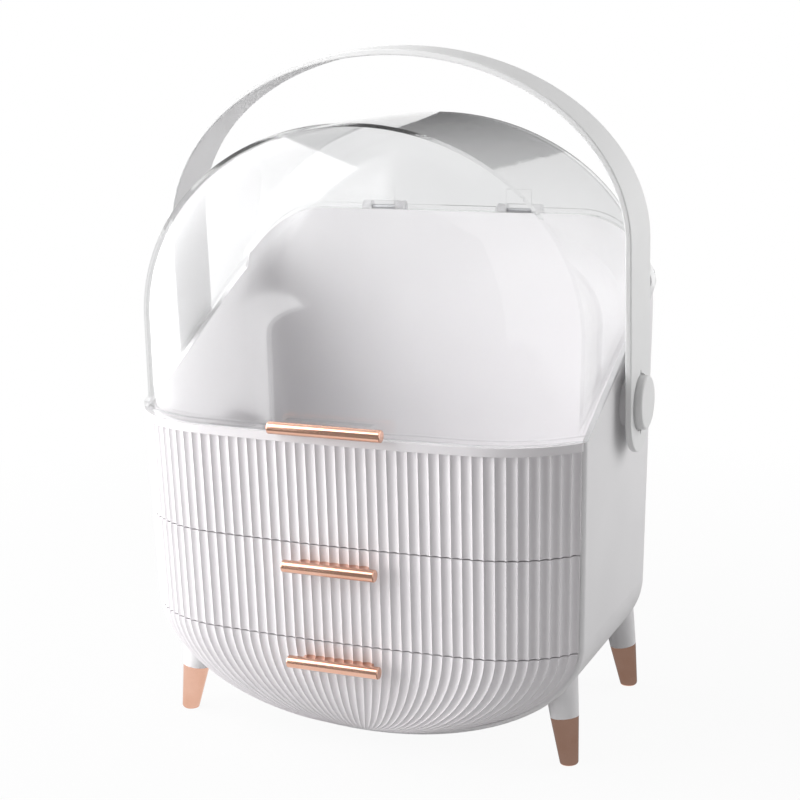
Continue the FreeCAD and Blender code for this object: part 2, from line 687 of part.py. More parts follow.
def knuckle(middle):
    """Lid half of a hinge: a plate on the lid's back with a barrel that is bored for the pin."""
    x = (middle - v["knuckle_width"] / 2, middle + v["knuckle_width"] / 2)
    barrel = cylinder_x(v["hinge_radius"], x, HINGE_Y, HINGE_Z)
    arm = box(x, (v["case_back"] - v["lid_wall"] / 2, HINGE_Y),
              (HINGE_Z + v["seam_gap"], HINGE_Z + v["hinge_radius"]))
    plate = box(x, (v["case_back"] - v["lid_wall"] / 2, v["case_back"] + v["hinge_plate_thickness"]),
                (HINGE_Z + v["seam_gap"], HINGE_Z + v["hinge_plate_height"]))
    loose = v["hinge_pin_radius"] + v["running_gap"]
    bore = cylinder_x(loose, (x[0] - OVERCUT, x[1] + OVERCUT), HINGE_Y, HINGE_Z)
    return barrel.fuse([arm, plate]).cut(bore)


def make_lid():
    """Clear dome with a rim that follows the seam, two hinge knuckles and a tab for its pull."""
    under = below_seam(v["seam_gap"])
    rim_zone = below_seam(v["seam_gap"] + v["flange_height"]).cut(under)
    rim = lid_envelope(v["flange_width"]).common(rim_zone)
    dome = lid_envelope(0).cut(under).fuse(rim).cut(lid_envelope(-v["lid_wall"]))
    tab = box((-v["tab_width"] / 2, v["tab_width"] / 2), (TAB_FRONT, LID_FRONT + v["lid_wall"] / 2),
              (TAB_BOTTOM, TAB_BOTTOM + v["tab_height"]))
    web = v["pull_web_height"] / 2
    slot = box((-v["pull_web_width"] / 2, v["pull_web_width"] / 2),
               (TAB_FRONT - OVERCUT, TAB_FRONT + v["tab_slot"]), (LID_PULL_Z - web, LID_PULL_Z + web))
    clear = v["knuckle_width"] / 2 + v["lug_width"] + 3 * v["hinge_side_gap"]
    cuts = [slot]
    knuckles = []
    for name, side in sides():
        middle = side * v["hinge_spacing"]
        cuts.append(box((middle - clear, middle + clear), (v["case_back"], HINGE_Y),
                        (PANEL_TOP, HINGE_Z + 2 * v["hinge_radius"])))
        knuckles.append(knuckle(middle))
    return feature("lid", dome.fuse(tab).cut(cuts).fuse(knuckles))


# Pieces made from primitives and sketches, their sizes bound to the sheet


def size(name):
    return "Sizes." + name


def total(*names):
    return " + ".join(size(name) for name in names)


def bind(piece, sizes):
    """Binds properties of a piece to expressions."""
    for name, expression in sizes.items():
        piece.setExpression(name, expression)
    return piece


def put(piece, position, direction=Vector(0, 0, 1)):
    """Moves a piece to a position with its own Z along a direction."""
    piece.Placement = Placement(position, Rotation(Vector(0, 0, 1), direction))
    return piece


def cylinder(name, radius, height, position, direction=Vector(0, 0, 1)):
    piece = bind(doc.addObject("Part::Cylinder", name), {"Radius": radius, "Height": height})
    return put(piece, position, direction)


def block(name, length, width, height, corner):
    piece = bind(doc.addObject("Part::Box", name), {"Length": length, "Width": width, "Height": height})
    return put(piece, corner)


def joined(name, pieces):
    whole = doc.addObject("Part::MultiFuse", name)
    whole.Shapes = pieces
    return whole


def cut(name, base, tool):
    rest = doc.addObject("Part::Cut", name)
    rest.Base = base
    rest.Tool = tool
    return rest


def grouped(name, pieces):
    group = doc.addObject("Part::Compound", name)
    group.Links = pieces
    return group


def rounded(name, base, radius, choose):
    """Rounds the edges of a base that choose picks."""
    doc.recompute()
    piece = doc.addObject("Part::Fillet", name)
    piece.Base = base
    piece.Edges = [(k + 1, radius, radius) for k, edge in enumerate(base.Shape.Edges) if choose(edge)]
    return piece


def sketch_on(body, role, name):
    """Sketch on one of a body's own origin planes."""
    sketch = body.newObject("Sketcher::SketchObject", name)
    plane = next(item for item in body.Origin.OriginFeatures if item.Role == role)
    sketch.AttachmentSupport = [(plane, "")]
    sketch.MapMode = "FlatFace"
    return sketch


def flat(x, y):
    return Vector(x, y, 0)


def segment(sketch, start, end):
    return sketch.addGeometry(Part.LineSegment(flat(*start), flat(*end)))


def loop(sketch, points):
    """Closed run of straight lines with joined corners."""
    count = len(points)
    lines = [segment(sketch, points[k], points[(k + 1) % count]) for k in range(count)]
    for k in range(count):
        sketch.addConstraint(Sketcher.Constraint("Coincident", lines[k], 2, lines[(k + 1) % count], 1))
    return lines


def fix(sketch, kind, first, second, amount, name, expression):
    """Named distance between two sketch points, bound to the sheet."""
    index = sketch.addConstraint(Sketcher.Constraint(kind, *first, *second, amount))
    sketch.renameConstraint(index, name)
    sketch.setExpression("Constraints." + name, expression)


def circles(sketch, places, radius):
    """Equal circles at places, their radius bound to the sheet."""
    for x, y in places:
        circle = sketch.addGeometry(Part.Circle(flat(x, y), Vector(0, 0, 1), v[radius]))
        index = sketch.addConstraint(Sketcher.Constraint("Radius", circle, v[radius]))
        sketch.setExpression("Constraints[%d]" % index, size(radius))


# Shelf between the drawers


keep("shelf_width", 2 * (half_width(SHELF_BOTTOM) - v["case_wall"] - v["plate_gap"]),
     "shelf from side to side")
keep("shelf_depth", PLATE_BACK - PLATE_FRONT, "shelf from front to back")


def make_middle_shelf():
    body = doc.addObject("PartDesign::Body", "middle_shelf")
    sketch = sketch_on(body, "XY_Plane", "shelf_outline")
    half = v["shelf_width"] / 2
    depth = v["shelf_depth"]
    front, right, back, left = loop(sketch, [(-half, 0), (half, 0), (half, depth), (-half, depth)])
    for kind, side in (("Horizontal", front), ("Vertical", right), ("Horizontal", back), ("Vertical", left)):
        sketch.addConstraint(Sketcher.Constraint(kind, side))
    sketch.addConstraint(Sketcher.Constraint("Symmetric", front, 1, front, 2, -1, 1))
    fix(sketch, "DistanceX", (front, 1), (front, 2), v["shelf_width"], "width", size("shelf_width"))
    fix(sketch, "DistanceY", (right, 1), (right, 2), v["shelf_depth"], "depth", size("shelf_depth"))
    pad = body.newObject("PartDesign::Pad", "shelf_plate")
    pad.Profile = sketch
    pad.setExpression("Length", size("plate_thickness"))
    doc.recompute()
    upright = [(k + 1, edge) for k, edge in enumerate(pad.Shape.Edges)
               if abs(edge.Vertexes[0].Z - edge.Vertexes[-1].Z) > v["plate_thickness"] / 2]
    rear = ["Edge%d" % number for number, edge in upright if edge.CenterOfMass.y > depth / 2]
    fillet = body.newObject("PartDesign::Fillet", "shelf_corners")
    fillet.Base = (pad, rear)
    fillet.setExpression("Radius", size("rear_round") + " - " + size("case_wall"))
    places = [(x, y - PLATE_FRONT) for x, y in screw_places(plate_screw_x(SHELF_BOTTOM), PLATE_SCREW_Y)]
    for name, radius, length in (("shelf_holes", "screw_radius", "plate_thickness"),
                                 ("shelf_seats", "sunk_head_radius", "sunk_head_height")):
        holes = sketch_on(body, "XY_Plane", name + "_outline")
        holes.setExpression("AttachmentOffset.Base.z", size("plate_thickness"))
        circles(holes, places, radius)
        pocket = body.newObject("PartDesign::Pocket", name)
        pocket.Profile = holes
        pocket.setExpression("Length", size(length))
    put(body, Vector(0, PLATE_FRONT, SHELF_BOTTOM))
    return body


# Carry handle


def band_side(sketch, grow, foot):
    """Arch and arms of the band's inside, or of its outside when grown, in the front view."""
    wide = v["handle_half_span"] + grow
    spring = HANDLE_SPRING
    oval = Part.Ellipse(flat(wide, spring), flat(0, spring + HANDLE_RISE + grow), flat(0, spring))
    arch = sketch.addGeometry(Part.ArcOfEllipse(oval, 0, math.pi))
    right = segment(sketch, (wide, spring), (wide, foot))
    left = segment(sketch, (-wide, spring), (-wide, foot))
    for arm, end in ((right, 1), (left, 2)):
        sketch.addConstraint(Sketcher.Constraint("Coincident", arch, end, arm, 1))
        sketch.addConstraint(Sketcher.Constraint("Vertical", arm))
    sketch.addConstraint(Sketcher.Constraint("Symmetric", left, 2, right, 2, -2))
    return left, right


def make_handle_band():
    """Flat band bent to an arch, its arms wider than its crown and rounded at their ends."""
    body = doc.addObject("PartDesign::Body", "handle_band")
    half = v["handle_arm_width"] / 2
    tail = PIVOT_Z - v["handle_tail"]
    foot = tail - 2 * half
    sketch = sketch_on(body, "XZ_Plane", "band_arch")
    inner = band_side(sketch, 0, foot)
    outer = band_side(sketch, v["handle_thickness"], foot)
    fix(sketch, "DistanceX", (inner[0], 2), (inner[1], 2), 2 * v["handle_half_span"], "span",
        "2 * " + size("handle_half_span"))
    for near, far, side in zip(inner, outer, (-1, 1)):
        wide = v["handle_half_span"]
        sole = segment(sketch, (side * wide, foot), (side * (wide + v["handle_thickness"]), foot))
        sketch.addConstraint(Sketcher.Constraint("Coincident", sole, 1, near, 2))
        sketch.addConstraint(Sketcher.Constraint("Coincident", sole, 2, far, 2))
    fix(sketch, "DistanceX", (inner[1], 2), (outer[1], 2), v["handle_thickness"], "thickness",
        size("handle_thickness"))
    pad = body.newObject("PartDesign::Pad", "band")
    pad.Profile = sketch
    pad.SideType = "Symmetric"
    pad.setExpression("Length", size("handle_arm_width"))
    doc.recompute()
    crown = v["handle_top_width"] / 2
    spring = HANDLE_SPRING
    top = spring + HANDLE_RISE + 2 * v["handle_thickness"]
    side_view = sketch_on(body, "YZ_Plane", "band_taper")
    low = foot - half
    high = top + half
    loop(side_view, [(-2 * half, low), (2 * half, low), (2 * half, high), (-2 * half, high)])
    round_end = Part.Circle(flat(0, tail), Vector(0, 0, 1), half)
    side_view.addGeometry(Part.ArcOfCircle(round_end, math.pi, 2 * math.pi))
    for way in (-1, 1):
        segment(side_view, (way * half, tail), (way * half, spring))
        segment(side_view, (way * half, spring), (way * crown, top))
    segment(side_view, (-crown, top), (crown, top))
    pocket = body.newObject("PartDesign::Pocket", "band_sides")
    pocket.Profile = side_view
    pocket.SideType = "Symmetric"
    pocket.Type = "ThroughAll"
    doc.recompute()
    longest = 2 * v["handle_thickness"]
    rims = ["Edge%d" % (k + 1) for k, edge in enumerate(pocket.Shape.Edges) if edge.Length > longest]
    fillet = body.newObject("PartDesign::Fillet", "band_edges")
    fillet.Base = (pocket, rims)
    fillet.setExpression("Radius", size("handle_edge"))
    return body


HANDLE_FACE = v["handle_half_span"] + v["handle_thickness"]


def eye_cutters():
    """Bore, recess and pointed notches of the eye in each arm."""
    cutters = []
    centre = Vector(0, 0, PIVOT_Z)
    recess = v["knob_radius"] + v["eye_gap"]
    for name, side in sides():
        way = Vector(side, 0, 0)
        cutters.append(cylinder("eye_bore_" + name, total("knob_shank_radius", "running_gap"),
                                "2 * " + size("handle_thickness"),
                                centre + way * (v["handle_half_span"] - v["handle_thickness"] / 2), way))
        floor = centre + way * (HANDLE_FACE - v["eye_depth"])
        cutters.append(cylinder("eye_recess_" + name, total("knob_radius", "eye_gap"),
                                "2 * " + size("eye_depth"), floor, way))
        for end_name, end in (("low", -1), ("high", 1)):
            root = Vector(0, 0, end * (recess - v["notch_reach"]))
            across = Vector(0, v["notch_width"] / 2, 0)
            tip = Vector(0, 0, end * (recess + v["notch_reach"]))
            corners = [floor + root - across, floor + root + across, floor + tip]
            wedge = doc.addObject("Part::Feature", "eye_notch_%s_%s" % (name, end_name))
            wedge.Shape = Part.Face(Part.makePolygon(corners + corners[:1])).extrude(way * 2 * v["eye_depth"])
            cutters.append(wedge)
    return joined("eye_cutters", cutters)


def make_carry_handle():
    handle = cut("carry_handle", make_handle_band(), eye_cutters())
    lean = Rotation(Vector(1, 0, 0), v["handle_lean"])
    pivot = Vector(0, 0, PIVOT_Z)
    handle.Placement = Placement(Vector(0, PIVOT_Y, 0) + pivot - lean.multVec(pivot), lean)
    return handle


KNOB_FLOOR = HANDLE_FACE - v["eye_depth"] + v["side_gap"]
KNOB_FACE = HANDLE_FACE + v["knob_reach"]
keep("knob_head_length", KNOB_FACE - KNOB_FLOOR, "head of the pivot knob")
keep("knob_shank_length", KNOB_FLOOR - SIDE_AT_PIVOT, "journal of the pivot knob")


def make_pivot_knob(name, side):
    """Knob with its head in the handle's recess and its journal pressed through the eye into the boss."""
    way = Vector(side, 0, 0)
    centre = Vector(0, PIVOT_Y, PIVOT_Z)
    head = cylinder("knob_head_" + name, size("knob_radius"), size("knob_head_length"),
                    centre + way * KNOB_FLOOR, way)
    edge = rounded("knob_edge_" + name, head, v["knob_edge"],
                   lambda edge: edge.Closed and abs(edge.CenterOfMass.x) > (KNOB_FLOOR + KNOB_FACE) / 2)
    shank = cylinder("knob_shank_" + name, size("knob_shank_radius"), size("knob_shank_length"),
                     centre + way * SIDE_AT_PIVOT, way)
    return joined("pivot_knob_" + name, [edge, shank])


# Feet, pulls, pins and screws


keep("cap_length", v["cap_height"] + v["cap_sink"], "cap before its tip is cut level")


def make_foot_cap(name, side, end):
    """Tapered cap on a leg's peg, its round tip cut level with the ground."""
    axis = leg_axis(side, end)
    foot = foot_point(side, end)
    cone = bind(doc.addObject("Part::Cone", name + "_cone"), {"Radius1": size("cap_bottom_radius"),
                "Radius2": size("cap_top_radius"), "Height": size("cap_length")})
    put(cone, foot - axis * v["cap_sink"], axis)
    tip = rounded(name + "_tip", cone, v["cap_edge"],
                  lambda edge: edge.Closed and edge.CenterOfMass.z < v["cap_height"] / 2)
    bore = cylinder(name + "_bore", size("spigot_radius"), size("spigot_length"),
                    foot + axis * (v["cap_height"] - v["spigot_length"]), axis)
    reach = 4 * v["cap_top_radius"]
    wide = "4 * " + size("cap_top_radius")
    ground = block(name + "_ground", wide, wide, wide, foot - Vector(reach / 2, reach / 2, reach))
    return cut(name, tip, joined(name + "_cuts", [bore, ground]))


def make_bar(name, length, y, z):
    """Round bar along X with softened ends."""
    start = Vector(-v[length] / 2, y, z)
    rod = cylinder(name + "_rod", size("pull_radius"), size(length), start, Vector(1, 0, 0))
    return rounded(name + "_bar", rod, v["pull_edge"], lambda edge: edge.Closed)


def screw(name, seat, direction):
    """Screw with its head on the seat and its shank along direction."""
    head = cylinder(name + "_head", size("screw_head_radius"), size("screw_head_height"),
                    seat - direction * v["screw_head_height"], direction)
    shank = cylinder(name + "_shank", size("screw_radius"), size("screw_length"), seat, direction)
    return joined(name, [head, shank])


def make_pull_screws(name, height):
    """Two screws from inside a drawer into its pull."""
    screws = []
    low = height - v["screw_head_radius"]
    far = v["pull_screw_spacing"] + v["screw_head_radius"]
    seat = front_place(far, -v["front_wall"], low, hollow_scale(low)).y
    for side_name, side in sides():
        place = Vector(side * v["pull_screw_spacing"], seat, height)
        screws.append(screw("%s_%s" % (name, side_name), place, Vector(0, -1, 0)))
    return grouped(name, screws)


keep("pull_web_reach", v["pull_stand"] + v["flute_depth"] + v["front_wall"] / 2,
     "web from the bar's middle backward")
keep("lid_web_reach", v["pull_radius"] + v["pull_gap"] + v["tab_slot"], "web of the lid pull")


def make_drawer_pull(name, height, drawer, screws):
    """Bar on a web that is shaped to the flutes behind it."""
    y = front_place(0, v["flute_depth"], height, front_scale(height)).y - v["pull_stand"]
    bar = make_bar(name, "pull_length", y, height)
    web = block(name + "_web", size("pull_web_width"), size("pull_web_reach"), size("pull_web_height"),
                Vector(-v["pull_web_width"] / 2, y, height - v["pull_web_height"] / 2))
    return cut(name, joined(name + "_whole", [bar, web]), joined(name + "_cuts", [drawer, screws]))


def make_lid_pull():
    """Bar before the lid's tab on a web that sits in the tab's slot."""
    y = TAB_FRONT - v["pull_radius"] - v["pull_gap"]
    bar = make_bar("lid_pull", "lid_pull_length", y, LID_PULL_Z)
    web = block("lid_pull_web", size("pull_web_width"), size("lid_web_reach"), size("pull_web_height"),
                Vector(-v["pull_web_width"] / 2, y, LID_PULL_Z - v["pull_web_height"] / 2))
    return joined("lid_pull", [bar, web])


keep("hinge_pin_length", v["knuckle_width"] + 2 * (v["hinge_side_gap"] + v["lug_width"]), "hinge pin")


def make_hinge_pin(name, side):
    start = Vector(side * v["hinge_spacing"] - v["hinge_pin_length"] / 2, HINGE_Y, HINGE_Z)
    return cylinder("hinge_pin_" + name, size("hinge_pin_radius"), size("hinge_pin_length"), start,
                    Vector(1, 0, 0))


keep("plate_screw_length", v["ledge_height"] + v["plate_thickness"] - v["sunk_head_height"],
     "plate screw under its head")


def make_plate_screws(name, bottom):
    """Four screws down through a plate into the ledges, their heads flush."""
    screws = []
    neck = bottom + v["plate_thickness"] - v["sunk_head_height"]
    for k, (x, y) in enumerate(screw_places(plate_screw_x(bottom), PLATE_SCREW_Y)):
        head = cylinder("%s_head_%d" % (name, k), size("sunk_head_radius"), size("sunk_head_height"),
                        Vector(x, y, neck))
        shank = cylinder("%s_shank_%d" % (name, k), size("screw_radius"), size("plate_screw_length"),
                         Vector(x, y, neck), Vector(0, 0, -1))
        screws.append(joined("%s_%d" % (name, k), [head, shank]))
    return grouped(name, screws)


# Every piece, in the frame of the whole object


def make_pieces():
    upper_drawer = make_upper_drawer()
    lower_drawer = make_lower_drawer()
    upper_screws = make_pull_screws("upper_pull_screws", UPPER_PULL_Z)
    lower_screws = make_pull_screws("lower_pull_screws", LOWER_PULL_Z)
    pieces = [make_outer_shell(), make_upper_tray(), make_middle_shelf(), make_lid()]
    pieces += [upper_drawer, lower_drawer, upper_screws, lower_screws]
    pieces.append(make_drawer_pull("upper_drawer_pull", UPPER_PULL_Z, upper_drawer, upper_screws))
    pieces.append(make_drawer_pull("lower_drawer_pull", LOWER_PULL_Z, lower_drawer, lower_screws))
    pieces += [make_lid_pull(), make_carry_handle()]
    pieces.append(make_plate_screws("shelf_screws", SHELF_BOTTOM))
    pieces.append(make_plate_screws("tray_screws", TRAY_BOTTOM))
    for name, side in sides():
        pieces.append(make_pivot_knob(name, side))
        pieces.append(make_hinge_pin(name, side))
        for end_name, end in (("front", -1), ("back", 1)):
            pieces.append(make_foot_cap("foot_cap_%s_%s" % (end_name, name), side, end))
    return pieces


pieces = make_pieces()
doc.recompute()
for item in doc.Objects:
    if "Invalid" in item.State or "Error" in item.State:
        raise RuntimeError("failed object: " + item.Name)
for piece in pieces:
    if piece.Shape.isNull() or not piece.Shape.isValid() or not piece.Shape.Solids:
        raise RuntimeError("bad shape: " + piece.Label)
    if len(piece.Shape.Solids) > 1 and not piece.Label.endswith("screws"):
        raise RuntimeError("not one solid: " + piece.Label)
whole = FreeCAD.BoundBox()
for piece in pieces:
    whole.add(piece.Shape.optimalBoundingBox())
shift = Vector(-whole.Center.x, -whole.Center.y, 0)
print("origin moved by", shift)
os.makedirs("parts", exist_ok=True)
for piece in pieces:
    shape = piece.Shape.copy()
    shape.translate(shift)
    shape.exportStep("parts/%s.step" % piece.Label)
    print(piece.Label, "solids", len(shape.Solids), "volume", round(shape.Volume))
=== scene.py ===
import math

import bpy
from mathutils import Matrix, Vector

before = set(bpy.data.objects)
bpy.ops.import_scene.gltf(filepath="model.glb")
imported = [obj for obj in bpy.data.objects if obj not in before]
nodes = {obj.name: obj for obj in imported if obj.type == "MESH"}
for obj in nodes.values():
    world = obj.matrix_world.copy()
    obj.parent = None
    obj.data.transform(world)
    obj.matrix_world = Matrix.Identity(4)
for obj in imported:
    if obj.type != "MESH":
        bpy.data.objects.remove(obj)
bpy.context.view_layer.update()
scene = bpy.context.scene

# Camera at the photograph's viewing angle
CAMERA_PLACE = Vector((0.4046, -0.9810, 0.4304))
CAMERA_TARGET = Vector((0.0, 0.0098, 0.2028))
CAMERA_LENS = 78.23
CAMERA_SENSOR = 36
CAMERA_NEAR = 0.05
CAMERA_ROLL = math.radians(-0.62)

# Nodes that share a finish
CASE_NODES = ("outer_shell", "middle_shelf")
FRONT_NODES = ("upper_tray", "upper_drawer", "lower_drawer")
HANDLE_NODES = ("carry_handle", "pivot_knob_left", "pivot_knob_right")
GOLD_NODES = ("upper_drawer_pull", "lower_drawer_pull", "lid_pull", "foot_cap_front_left",
              "foot_cap_front_right", "foot_cap_back_left", "foot_cap_back_right")
STEEL_NODES = ("hinge_pin_left", "hinge_pin_right", "upper_pull_screws", "lower_pull_screws",
               "shelf_screws", "tray_screws")

# White plastics: dark and light shade, least and most roughness, strength of the grain
WHITE_CASE = ((0.80, 0.79, 0.80), (0.84, 0.83, 0.84), (0.5, 0.6), 0.1)
WHITE_FRONTS = ((0.79, 0.765, 0.785), (0.83, 0.805, 0.825), (0.42, 0.54), 0.1)
WHITE_HANDLE = ((0.76, 0.76, 0.76), (0.80, 0.80, 0.80), (0.4, 0.5), 0.03)
WHITE_IOR = 1.48
GRAIN_DEPTH = 0.00001

# Platings: dark and light shade, least and most roughness
ROSE_GOLD = ((0.76, 0.44, 0.32), (0.83, 0.51, 0.39), (0.10, 0.20))
STEEL = ((0.52, 0.52, 0.54), (0.64, 0.64, 0.66), (0.28, 0.42))
HAIRLINE_STRETCH = (40, 900, 900)
HAIRLINE_STRENGTH = 0.08
HAIRLINE_DEPTH = 0.00002

# Clear lid: shades face on, painted shade along the wall where it is seen edge-on, gloss, waves of the skin
# and what its shadow lets through
LID_DARK = (0.87, 0.872, 0.875)
LID_LIGHT = (0.89, 0.892, 0.895)
# Painted shade: the dark colour the lid's wall turns to where it is seen edge-on, and where that painted
# shade starts
LID_EDGE_SHADE = (0.12, 0.12, 0.125)
LID_EDGE_SHADE_START = 0.65
LID_WALL_IOR = 1.015
LID_WALL_ROUGH = (0.0, 0.03)
LID_SKIN_IOR = 1.49
LID_SKIN_ROUGH = 0.07
LID_WAVE_STRENGTH = 0.1
LID_WAVE_DEPTH = 0.0003
LID_SHADOW = (0.885, 0.885, 0.885, 1)

# Noises: scale and detail
WHITE_CLOUDS = (14, 3)
WHITE_PITS = (2600, 2)
WHITE_GLOSS = (55, 4)
LID_CLOUDS = (9, 2)
LID_GLOSS = (40, 3)
LID_WAVES = (7, 0)
HAIRLINES = (1, 3)
PLATING_CLOUDS = (60, 3)

# Values between which a noise is spread
NOISE_LOW = 0.3
NOISE_HIGH = 0.7

# Floor, its faint shadow and the background
PURE_WHITE = (1, 1, 1, 1)
FEET_MIDDLE = Vector((0, 0.0268, 0))
FLOOR_SIZE = 40
FLOOR_COLOUR = (0.6, 0.6, 0.6, 1)
FLOOR_GLOW = 0.94
SHADOW_NEAR = 0.3
SHADOW_FAR = 0.8
WORLD_LIGHT = 0.3

# Upright lamps: name, first and last azimuth, distance, low and high edge, radiance
LAMPS = (
    ("key_left", -26, -105, 1.15, 0.0, 1.6, 3.7),
    ("side_right", 95, 150, 1.15, 0.1, 1.2, 1.8),
)
OVERHEAD_HEIGHT = 1.8
OVERHEAD_SIZE = 1.1
OVERHEAD_RADIANCE = 0.5
HALF_BOUNCE = 0.5

# Upright grey cards: name, first and last azimuth, distance, low and high edge, level of light
CARDS = (
    ("card_front", -34, 20, 1.2, 0.0, 0.9, 0.3),
    ("card_behind", -160, -180, 1.5, 0.3, 1.3, 0.12),
    ("card_left", -138, -160, 1.2, 0.0, 0.25, 0.05),
)

# Grey cards just over the floor: name, left, right, near and far edge, level of light
FLOOR_CARDS = (
    ("floor_card_front", -1.0, 1.0, -0.3, -1.6, 0.34),
    ("floor_card_right", 0.03, 1.0, 0.25, -0.3, 0.3),
)
FLOOR_CARD_LIFT = 0.0005


def aim(thing, target):
    """Turns an object so that its own -Z looks at a target."""
    thing.rotation_euler = (target - thing.location).to_track_quat("-Z", "Y").to_euler()


def make_camera():
    lens = bpy.data.cameras.new("camera")
    lens.lens = CAMERA_LENS
    lens.sensor_width = CAMERA_SENSOR
    lens.clip_start = CAMERA_NEAR
    camera = bpy.data.objects.new("camera", lens)
    scene.collection.objects.link(camera)
    camera.location = CAMERA_PLACE
    aim(camera, CAMERA_TARGET)
    camera.rotation_euler.rotate_axis("Z", CAMERA_ROLL)
    scene.camera = camera


# Materials


def new_material(name):
    """Empty node material with its output."""
    material = bpy.data.materials.new(name)
    material.use_nodes = True
    tree = material.node_tree
    tree.nodes.clear()
    output = tree.nodes.new("ShaderNodeOutputMaterial")
    return material, tree, output


def add(tree, kind, **values):
    """New node with values for its inputs by name, spaces written as underscores."""
    node = tree.nodes.new(kind)
    for name, value in values.items():
        node.inputs[name.replace("_", " ")].default_value = value
    return node


def object_coordinates(tree, stretch=(1, 1, 1)):
    """Metres in the object's own frame, stretched along the axes."""
    place = tree.nodes.new("ShaderNodeTexCoord")
    mapping = add(tree, "ShaderNodeMapping", Scale=stretch)
    tree.links.new(place.outputs["Object"], mapping.inputs["Vector"])
    return mapping.outputs["Vector"]


def noise(tree, place, scale, detail):
    texture = add(tree, "ShaderNodeTexNoise", Scale=scale, Detail=detail)
    tree.links.new(place, texture.inputs["Vector"])
    return texture.outputs["Fac"]


def ranged(tree, value, low, high):
    """Noise value spread between two limits."""
    spread = add(tree, "ShaderNodeMapRange", From_Min=NOISE_LOW, From_Max=NOISE_HIGH, To_Min=low, To_Max=high)
    tree.links.new(value, spread.inputs["Value"])
    return spread.outputs["Result"]


def tinted(tree, value, dark, light):
    """Colour between two shades by a noise value."""
    ramp = tree.nodes.new("ShaderNodeValToRGB")
    ramp.color_ramp.elements[0].position = NOISE_LOW
    ramp.color_ramp.elements[0].color = (*dark, 1)
    ramp.color_ramp.elements[1].position = NOISE_HIGH
    ramp.color_ramp.elements[1].color = (*light, 1)
    tree.links.new(value, ramp.inputs["Fac"])
    return ramp.outputs["Color"]


def bumped(tree, height, strength, distance):
    bump = add(tree, "ShaderNodeBump", Strength=strength, Distance=distance)
    tree.links.new(height, bump.inputs["Height"])
    return bump.outputs["Normal"]


def white_plastic(name, dark, light, rough, grain):
    """Moulded white plastic: fine spark-eroded grain, cloudy gloss and faint shade changes."""
    material, tree, output = new_material(name)
    shader = add(tree, "ShaderNodeBsdfPrincipled", IOR=WHITE_IOR)
    place = object_coordinates(tree)
    clouds = noise(tree, place, *WHITE_CLOUDS)
    pits = noise(tree, place, *WHITE_PITS)
    gloss = noise(tree, place, *WHITE_GLOSS)
    tree.links.new(tinted(tree, clouds, dark, light), shader.inputs["Base Color"])
    tree.links.new(ranged(tree, gloss, *rough), shader.inputs["Roughness"])
    tree.links.new(bumped(tree, pits, grain, GRAIN_DEPTH), shader.inputs["Normal"])
    tree.links.new(shader.outputs["BSDF"], output.inputs["Surface"])
    return material


def painted_edge_shade(tree, colour, edge):
    """Colour of clear plastic with painted shade that darkens it where the view runs along its wall."""
    slant = add(tree, "ShaderNodeLayerWeight", Blend=0.5)
    share = add(tree, "ShaderNodeMapRange", From_Min=LID_EDGE_SHADE_START)
    tree.links.new(slant.outputs["Facing"], share.inputs["Value"])
    mix = tree.nodes.new("ShaderNodeMix")
    mix.data_type = "RGBA"
    tree.links.new(share.outputs["Result"], mix.inputs["Factor"])
    tree.links.new(colour, mix.inputs["A"])
    mix.inputs["B"].default_value = (*edge, 1)
    return mix.outputs["Result"]


def clear_plastic(name):
    """Thin moulded clear plastic: polished skin over a wall that hardly bends the light."""
    material, tree, output = new_material(name)
    shader = add(tree, "ShaderNodeBsdfPrincipled", IOR=LID_WALL_IOR, Transmission_Weight=1.0,
                 Coat_Weight=1.0, Coat_IOR=LID_SKIN_IOR, Coat_Roughness=LID_SKIN_ROUGH)
    place = object_coordinates(tree)
    face_on = tinted(tree, noise(tree, place, *LID_CLOUDS), LID_DARK, LID_LIGHT)
    gloss = noise(tree, place, *LID_GLOSS)
    waves = noise(tree, place, *LID_WAVES)
    # Painted shade: the lid's colour darkens where its wall is seen edge-on
    tree.links.new(painted_edge_shade(tree, face_on, LID_EDGE_SHADE), shader.inputs["Base Color"])
    tree.links.new(ranged(tree, gloss, *LID_WALL_ROUGH), shader.inputs["Roughness"])
    tree.links.new(bumped(tree, waves, LID_WAVE_STRENGTH, LID_WAVE_DEPTH), shader.inputs["Coat Normal"])
    through = add(tree, "ShaderNodeBsdfTransparent", Color=LID_SHADOW)
    path = tree.nodes.new("ShaderNodeLightPath")
    mix = tree.nodes.new("ShaderNodeMixShader")
    tree.links.new(path.outputs["Is Shadow Ray"], mix.inputs["Fac"])
    tree.links.new(shader.outputs["BSDF"], mix.inputs[1])
    tree.links.new(through.outputs["BSDF"], mix.inputs[2])
    tree.links.new(mix.outputs["Shader"], output.inputs["Surface"])
    return material


def plated_metal(name, dark, light, rough):
    """Polished plating with fine hairlines and cloudy gloss."""
    material, tree, output = new_material(name)
    shader = add(tree, "ShaderNodeBsdfPrincipled", Metallic=1.0)
    hairlines = noise(tree, object_coordinates(tree, HAIRLINE_STRETCH), *HAIRLINES)
    clouds = noise(tree, object_coordinates(tree), *PLATING_CLOUDS)
    tree.links.new(tinted(tree, clouds, dark, light), shader.inputs["Base Color"])
    tree.links.new(ranged(tree, hairlines, *rough), shader.inputs["Roughness"])
    tree.links.new(bumped(tree, hairlines, HAIRLINE_STRENGTH, HAIRLINE_DEPTH), shader.inputs["Normal"])
    tree.links.new(shader.outputs["BSDF"], output.inputs["Surface"])
    return material


def dress(names, material):
    for name in names:
        slots = nodes[name].data.materials
        slots.clear()
        slots.append(material)


def dress_object():
    dress(CASE_NODES, white_plastic("white_case", *WHITE_CASE))
    dress(FRONT_NODES, white_plastic("white_fronts", *WHITE_FRONTS))
    dress(HANDLE_NODES, white_plastic("white_handle", *WHITE_HANDLE))
    dress(["lid"], clear_plastic("clear_lid"))
    dress(GOLD_NODES, plated_metal("rose_gold", *ROSE_GOLD))
    dress(STEEL_NODES, plated_metal("steel", *STEEL))


